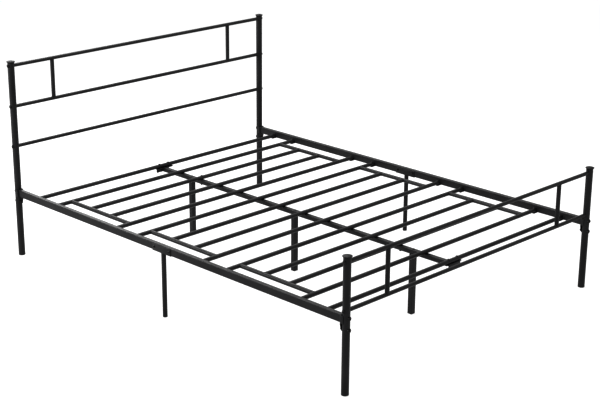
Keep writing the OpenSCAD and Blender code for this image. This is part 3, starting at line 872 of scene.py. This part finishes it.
# %% Lay the beads
BEAD = 1.3 * MM
saddle_points = 64


def saddle(origin, branch, main, branch_r, main_r):
    """The line on which a tube that leaves along branch meets a tube that runs along main."""
    branch, main = Vector(branch), Vector(main)
    side = branch.cross(main)
    line = []
    for step in range(saddle_points):
        angle = 2 * pi * step / saddle_points
        across = branch_r * sin(angle)
        reach = sqrt(max(0.0, main_r ** 2 - across ** 2))
        line.append(Vector(origin) + branch * reach + main * branch_r * cos(angle) + side * across)
    return line


def rounded_box(centre, half_x, half_z, corner):
    """A rectangle with round corners, in the plane of the end of a side rail."""
    line = []
    for quarter, (sx, sz) in enumerate(((1, 1), (-1, 1), (-1, -1), (1, -1))):
        turning_point = Vector(centre) + Vector((sx * (half_x - corner), 0, sz * (half_z - corner)))
        for step in range(4):
            angle = (quarter + step / 3) * pi / 2
            line.append(turning_point + corner * Vector((cos(angle), 0, sin(angle))))
    return line


def dense(line, spacing, cyclic=True):
    """Points at an even spacing along a line of straight stretches."""
    points = []
    nexts = line[1:] + (line[:1] if cyclic else [])
    for start, end in zip(line, nexts):
        count = max(1, round((end - start).length / spacing))
        points += [start.lerp(end, step / count) for step in range(count)]
    return points if cyclic else points + [line[-1]]


def weld(name, lines, cyclic=True, radius=BEAD):
    """One piece with a bead along each line."""
    curve = bpy.data.curves.new(name, "CURVE")
    curve.dimensions = "3D"
    curve.bevel_depth = radius
    curve.bevel_resolution = 1
    curve.use_fill_caps = True
    for line in lines:
        spline = curve.splines.new("POLY")
        spline.points.add(len(line) - 1)
        spline.use_cyclic_u = cyclic
        for number, (point, place) in enumerate(zip(spline.points, line)):
            point.co = (*place, 1)
            point.radius = 1.0 if number % 2 else 0.84
    rope = bpy.data.objects.new(name + "_curve", curve)
    bm = bmesh.new()
    bm.from_mesh(rope.to_mesh())
    rope.to_mesh_clear()
    bpy.data.objects.remove(rope)
    bpy.data.curves.remove(curve)
    return piece(name, bm, [Matrix()], steel)


# %% Welds of the slat groups and the spindles
connector_x = middle("connectors_right").x
connector_r = size("connectors_right").x / 2
groups = [(1, 4), (5, 8), (9, 12)]
ALONG_X, ALONG_Y = (1, 0, 0), (0, 1, 0)
UP, DOWN, TO_FOOT, TO_HEAD = (0, 0, 1), (0, 0, -1), (0, -1, 0), (0, 1, 0)
beads = []
for sx in SIGNS:
    for first, last in groups:
        for i, branch in ((first, TO_FOOT), (last, TO_HEAD)):
            joint = (sx * connector_x, slat_y[i], slat_z)
            beads.append(saddle(joint, branch, ALONG_X, connector_r, slat_r))
    for i in short_slats:
        joint = (sx * connector_x, slat_y[i], slat_z)
        beads.append(saddle(joint, (-sx, 0, 0), ALONG_Y, slat_r, connector_r))
weld("slat_weld_beads", beads)

spindle_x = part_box("head_spindles")[1].x - size("head_spindles").y / 2
spindle_r = size("head_spindles").y / 2
rail_r = size("head_rail_top").z / 2
spindle_ends = (
    (1, rail_z["head_rail_middle"], rail_z["head_rail_top"]),
    (-1, rail_z["foot_rail_low"], rail_z["foot_rail_top"]),
)
beads = []
for sy, lower, upper in spindle_ends:
    for sx in SIGNS:
        for z, branch in ((lower, UP), (upper, DOWN)):
            joint = (sx * spindle_x, sy * post_y, z)
            beads.append(saddle(joint, branch, ALONG_X, spindle_r, rail_r))
weld("spindle_weld_beads", beads, radius=1.1 * MM)

# %% Welds of the side rails, the legs and the ledges
puddle = 0.9 * MM             # from one puddle to the next
bead_sink = 0.6 * MM          # how far the middle of a bead lies back from the joint
rail_corner_r = 2.5 * MM
rail_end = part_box("side_rail_right_head")[1].y
rail_half = (bed_top - bed_under) / 2
loops = []
for sx, sy in CORNERS:
    rail_face = (sx * post_x, sy * (rail_end - bead_sink), (bed_top + bed_under) / 2)
    loops.append(dense(rounded_box(rail_face, side_w / 2, rail_half, rail_corner_r), puddle))

leg_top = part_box("mid_leg_right")[1].z
angles = [2 * pi * n / 60 for n in range(60)]
for sx in SIGNS:
    leg_face = Vector((sx * post_x, 0, leg_top - bead_sink))
    loops.append([leg_face + leg_r * Vector((cos(a), sin(a), 0)) for a in angles])
weld("rail_and_leg_weld_beads", loops)

ledge_bead_z = bed_under - 0.4 * MM
bead_ends = (post_x - side_w / 2 + 0.5 * MM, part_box("slat_ledges")[1].x - 0.5 * MM)
seams = []
for sx in SIGNS:
    for i in long_slats:
        for sy in SIGNS:
            y = slat_y[i] + sy * slat_r
            ends = [Vector((sx * x, y, ledge_bead_z)) for x in bead_ends]
            seams.append(dense(ends, puddle, cyclic=False))
weld("ledge_weld_beads", seams, cyclic=False, radius=1.0 * MM)

# %% [markdown]
# ## Last look
#
# The boxes of the CAD and of the finished model are printed one under the other, with the count of
# triangles in the new pieces. The visual model may not grow past the CAD.

# %% Print the two boxes and the count of triangles
seen_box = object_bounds()
for label, box in (("cad", cad_box), ("seen", seen_box)):
    print(label, [[round(v, 4) for v in corner] for corner in box])
triangles = sum(len(f.vertices) - 2 for made in made_pieces for f in made.data.polygons)
print("new pieces:", len(made_pieces), "triangles:", triangles)
